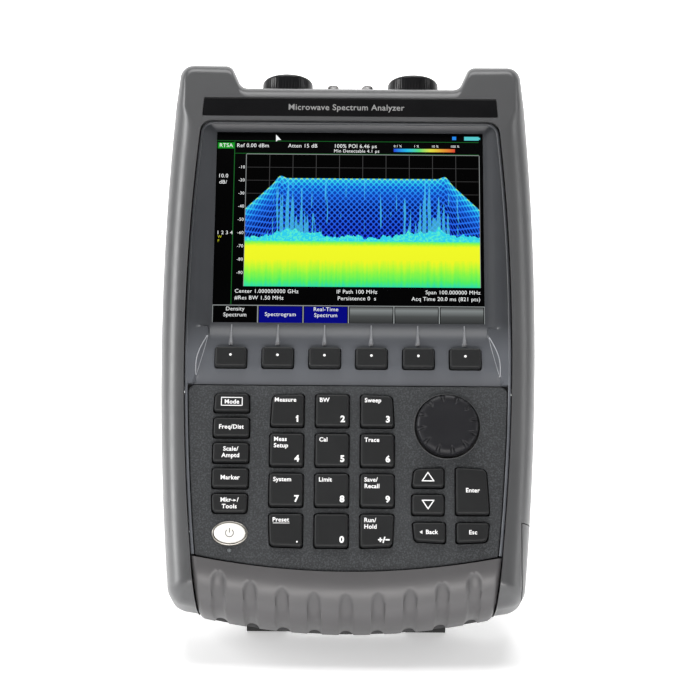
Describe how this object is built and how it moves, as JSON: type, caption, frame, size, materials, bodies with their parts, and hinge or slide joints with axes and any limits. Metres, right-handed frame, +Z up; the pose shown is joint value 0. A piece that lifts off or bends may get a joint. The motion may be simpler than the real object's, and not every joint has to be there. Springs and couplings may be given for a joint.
{
  "type": "spectrum analyzer",
  "caption": "Hand-held microwave spectrum analyzer with a screen, keypad, tuning knob, capped coaxial ports and a tilt bail, leaning back on its open bail.",
  "frame": {"origin": "on the bench, midway across the case and midway between its front-most and rear-most points", "axes": "+Z up, -Y towards the user, who faces the screen; +X to the user's right; the case leans back 60 degrees from the bench, so its own length runs along (0, 0.5, 0.866)"},
  "size_m": [0.188, 0.1852, 0.2726],
  "materials": {
    "case_grey": "fine moulded texture",
    "bezel_grey": "satin",
    "panel_grey": "fine spark texture",
    "grip_grey": "soft-touch",
    "strip_black": "gloss",
    "screen_glass": "gloss",
    "lcd_black": "gloss",
    "mat_grey": "matt",
    "board_green": "solder mask",
    "steel": "satin",
    "ring_silver": "satin",
    "aluminium": "bead blasted",
    "battery_black": "matt",
    "gold": "gold plated",
    "rubber_black": "matt",
    "door_black": "matt",
    "cap_black": "satin",
    "bail_grey": "satin",
    "knob_black": "soft-touch",
    "power_white": "satin",
    "key_black": "satin silicone"
  },
  "bodies": {
    "case": {"front_housing": "case_grey", "rear_housing": "case_grey", "screen_bezel": "bezel_grey", "keypad_panel": "panel_grey", "bottom_grip": "grip_grey", "name_strip": "strip_black", "display_glass": "screen_glass", "lcd_panel": "lcd_black", "keypad_membrane": "mat_grey", "keypad_board": "board_green", "encoder": "steel", "power_ring": "ring_silver", "main_board": "board_green", "rf_module": "aluminium", "battery_pack": "battery_black", "left_connectors": "steel", "right_connectors": "steel", "top_panel": "aluminium", "rf_ports": "steel", "sma_connectors": "gold", "hinge_pins": "steel", "rubber_feet": "rubber_black", "housing_screws": "steel"},
    "battery_door": {"battery_door": "case_grey"},
    "left_door": {"left_door": "door_black"},
    "right_door": {"right_door": "door_black"},
    "dust_cap_left": {"dust_cap_left": "cap_black"},
    "dust_cap_right": {"dust_cap_right": "cap_black"},
    "tilt_bail": {"tilt_bail": "bail_grey"},
    "tuning_knob": {"tuning_knob": "knob_black"},
    "power_key": {"power_key": "power_white"},
    "softkey_1": {"softkey_1": "key_black"},
    "softkey_2": {"softkey_2": "key_black"},
    "softkey_3": {"softkey_3": "key_black"},
    "softkey_4": {"softkey_4": "key_black"},
    "softkey_5": {"softkey_5": "key_black"},
    "softkey_6": {"softkey_6": "key_black"},
    "key_mode": {"key_mode": "key_black"},
    "key_freq": {"key_freq": "key_black"},
    "key_scale": {"key_scale": "key_black"},
    "key_marker": {"key_marker": "key_black"},
    "key_marker_tools": {"key_marker_tools": "key_black"},
    "key_1": {"key_1": "key_black"},
    "key_2": {"key_2": "key_black"},
    "key_3": {"key_3": "key_black"},
    "key_4": {"key_4": "key_black"},
    "key_5": {"key_5": "key_black"},
    "key_6": {"key_6": "key_black"},
    "key_7": {"key_7": "key_black"},
    "key_8": {"key_8": "key_black"},
    "key_9": {"key_9": "key_black"},
    "key_point": {"key_point": "key_black"},
    "key_0": {"key_0": "key_black"},
    "key_sign": {"key_sign": "key_black"},
    "key_up": {"key_up": "key_black"},
    "key_down": {"key_down": "key_black"},
    "key_enter": {"key_enter": "key_black"},
    "key_back": {"key_back": "key_black"},
    "key_esc": {"key_esc": "key_black"}
  },
  "joints": [
    {"name": "tilt_bail_fold", "type": "hinge", "parent": "case", "child": "tilt_bail", "pos_m": [0, 0.02171, 0.10746], "axis": [1, 0, 0], "range_deg": [-45.35, 0]},
    {"name": "left_door_swing", "type": "hinge", "parent": "case", "child": "left_door", "pos_m": [-0.09066, 0.0437, 0.18714], "axis": [0, -0.5, -0.866], "range_deg": [0, 90]},
    {"name": "right_door_swing", "type": "hinge", "parent": "case", "child": "right_door", "pos_m": [0.09155, 0.0287, 0.16116], "axis": [0, 0.5, 0.866], "range_deg": [0, 90]},
    {"name": "battery_door_pull", "type": "slide", "parent": "case", "child": "battery_door", "axis": [1, 0, 0], "range_m": [0, 0.03]},
    {"name": "dust_cap_left_pull", "type": "slide", "parent": "case", "child": "dust_cap_left", "axis": [0, 0.5, 0.866], "range_m": [0, 0.018]},
    {"name": "dust_cap_right_pull", "type": "slide", "parent": "case", "child": "dust_cap_right", "axis": [0, 0.5, 0.866], "range_m": [0, 0.018]},
    {"name": "tuning_knob_turn", "type": "hinge", "parent": "case", "child": "tuning_knob", "pos_m": [0.0488, -0.04857, 0.11132], "axis": [0, -0.866, 0.5], "continuous": true},
    {"name": "power_key_press", "type": "slide", "parent": "case", "child": "power_key", "axis": [0, 0.866, -0.5], "range_m": [0, 0.0012], "stiffness_N_per_m": 400, "springref_m": -0.0006},
    {"name": "softkey_1_press", "type": "slide", "parent": "case", "child": "softkey_1", "axis": [0, 0.866, -0.5], "range_m": [0, 0.0012], "stiffness_N_per_m": 400, "springref_m": -0.0006},
    {"name": "softkey_2_press", "type": "slide", "parent": "case", "child": "softkey_2", "axis": [0, 0.866, -0.5], "range_m": [0, 0.0012], "stiffness_N_per_m": 400, "springref_m": -0.0006},
    {"name": "softkey_3_press", "type": "slide", "parent": "case", "child": "softkey_3", "axis": [0, 0.866, -0.5], "range_m": [0, 0.0012], "stiffness_N_per_m": 400, "springref_m": -0.0006},
    {"name": "softkey_4_press", "type": "slide", "parent": "case", "child": "softkey_4", "axis": [0, 0.866, -0.5], "range_m": [0, 0.0012], "stiffness_N_per_m": 400, "springref_m": -0.0006},
    {"name": "softkey_5_press", "type": "slide", "parent": "case", "child": "softkey_5", "axis": [0, 0.866, -0.5], "range_m": [0, 0.0012], "stiffness_N_per_m": 400, "springref_m": -0.0006},
    {"name": "softkey_6_press", "type": "slide", "parent": "case", "child": "softkey_6", "axis": [0, 0.866, -0.5], "range_m": [0, 0.0012], "stiffness_N_per_m": 400, "springref_m": -0.0006},
    {"name": "key_mode_press", "type": "slide", "parent": "case", "child": "key_mode", "axis": [0, 0.866, -0.5], "range_m": [0, 0.0012], "stiffness_N_per_m": 400, "springref_m": -0.0006},
    {"name": "key_freq_press", "type": "slide", "parent": "case", "child": "key_freq", "axis": [0, 0.866, -0.5], "range_m": [0, 0.0012], "stiffness_N_per_m": 400, "springref_m": -0.0006},
    {"name": "key_scale_press", "type": "slide", "parent": "case", "child": "key_scale", "axis": [0, 0.866, -0.5], "range_m": [0, 0.0012], "stiffness_N_per_m": 400, "springref_m": -0.0006},
    {"name": "key_marker_press", "type": "slide", "parent": "case", "child": "key_marker", "axis": [0, 0.866, -0.5], "range_m": [0, 0.0012], "stiffness_N_per_m": 400, "springref_m": -0.0006},
    {"name": "key_marker_tools_press", "type": "slide", "parent": "case", "child": "key_marker_tools", "axis": [0, 0.866, -0.5], "range_m": [0, 0.0012], "stiffness_N_per_m": 400, "springref_m": -0.0006},
    {"name": "key_1_press", "type": "slide", "parent": "case", "child": "key_1", "axis": [0, 0.866, -0.5], "range_m": [0, 0.0012], "stiffness_N_per_m": 400, "springref_m": -0.0006},
    {"name": "key_2_press", "type": "slide", "parent": "case", "child": "key_2", "axis": [0, 0.866, -0.5], "range_m": [0, 0.0012], "stiffness_N_per_m": 400, "springref_m": -0.0006},
    {"name": "key_3_press", "type": "slide", "parent": "case", "child": "key_3", "axis": [0, 0.866, -0.5], "range_m": [0, 0.0012], "stiffness_N_per_m": 400, "springref_m": -0.0006},
    {"name": "key_4_press", "type": "slide", "parent": "case", "child": "key_4", "axis": [0, 0.866, -0.5], "range_m": [0, 0.0012], "stiffness_N_per_m": 400, "springref_m": -0.0006},
    {"name": "key_5_press", "type": "slide", "parent": "case", "child": "key_5", "axis": [0, 0.866, -0.5], "range_m": [0, 0.0012], "stiffness_N_per_m": 400, "springref_m": -0.0006},
    {"name": "key_6_press", "type": "slide", "parent": "case", "child": "key_6", "axis": [0, 0.866, -0.5], "range_m": [0, 0.0012], "stiffness_N_per_m": 400, "springref_m": -0.0006},
    {"name": "key_7_press", "type": "slide", "parent": "case", "child": "key_7", "axis": [0, 0.866, -0.5], "range_m": [0, 0.0012], "stiffness_N_per_m": 400, "springref_m": -0.0006},
    {"name": "key_8_press", "type": "slide", "parent": "case", "child": "key_8", "axis": [0, 0.866, -0.5], "range_m": [0, 0.0012], "stiffness_N_per_m": 400, "springref_m": -0.0006},
    {"name": "key_9_press", "type": "slide", "parent": "case", "child": "key_9", "axis": [0, 0.866, -0.5], "range_m": [0, 0.0012], "stiffness_N_per_m": 400, "springref_m": -0.0006},
    {"name": "key_point_press", "type": "slide", "parent": "case", "child": "key_point", "axis": [0, 0.866, -0.5], "range_m": [0, 0.0012], "stiffness_N_per_m": 400, "springref_m": -0.0006},
    {"name": "key_0_press", "type": "slide", "parent": "case", "child": "key_0", "axis": [0, 0.866, -0.5], "range_m": [0, 0.0012], "stiffness_N_per_m": 400, "springref_m": -0.0006},
    {"name": "key_sign_press", "type": "slide", "parent": "case", "child": "key_sign", "axis": [0, 0.866, -0.5], "range_m": [0, 0.0012], "stiffness_N_per_m": 400, "springref_m": -0.0006},
    {"name": "key_up_press", "type": "slide", "parent": "case", "child": "key_up", "axis": [0, 0.866, -0.5], "range_m": [0, 0.0012], "stiffness_N_per_m": 400, "springref_m": -0.0006},
    {"name": "key_down_press", "type": "slide", "parent": "case", "child": "key_down", "axis": [0, 0.866, -0.5], "range_m": [0, 0.0012], "stiffness_N_per_m": 400, "springref_m": -0.0006},
    {"name": "key_enter_press", "type": "slide", "parent": "case", "child": "key_enter", "axis": [0, 0.866, -0.5], "range_m": [0, 0.0012], "stiffness_N_per_m": 400, "springref_m": -0.0006},
    {"name": "key_back_press", "type": "slide", "parent": "case", "child": "key_back", "axis": [0, 0.866, -0.5], "range_m": [0, 0.0012], "stiffness_N_per_m": 400, "springref_m": -0.0006},
    {"name": "key_esc_press", "type": "slide", "parent": "case", "child": "key_esc", "axis": [0, 0.866, -0.5], "range_m": [0, 0.0012], "stiffness_N_per_m": 400, "springref_m": -0.0006}
  ]
}
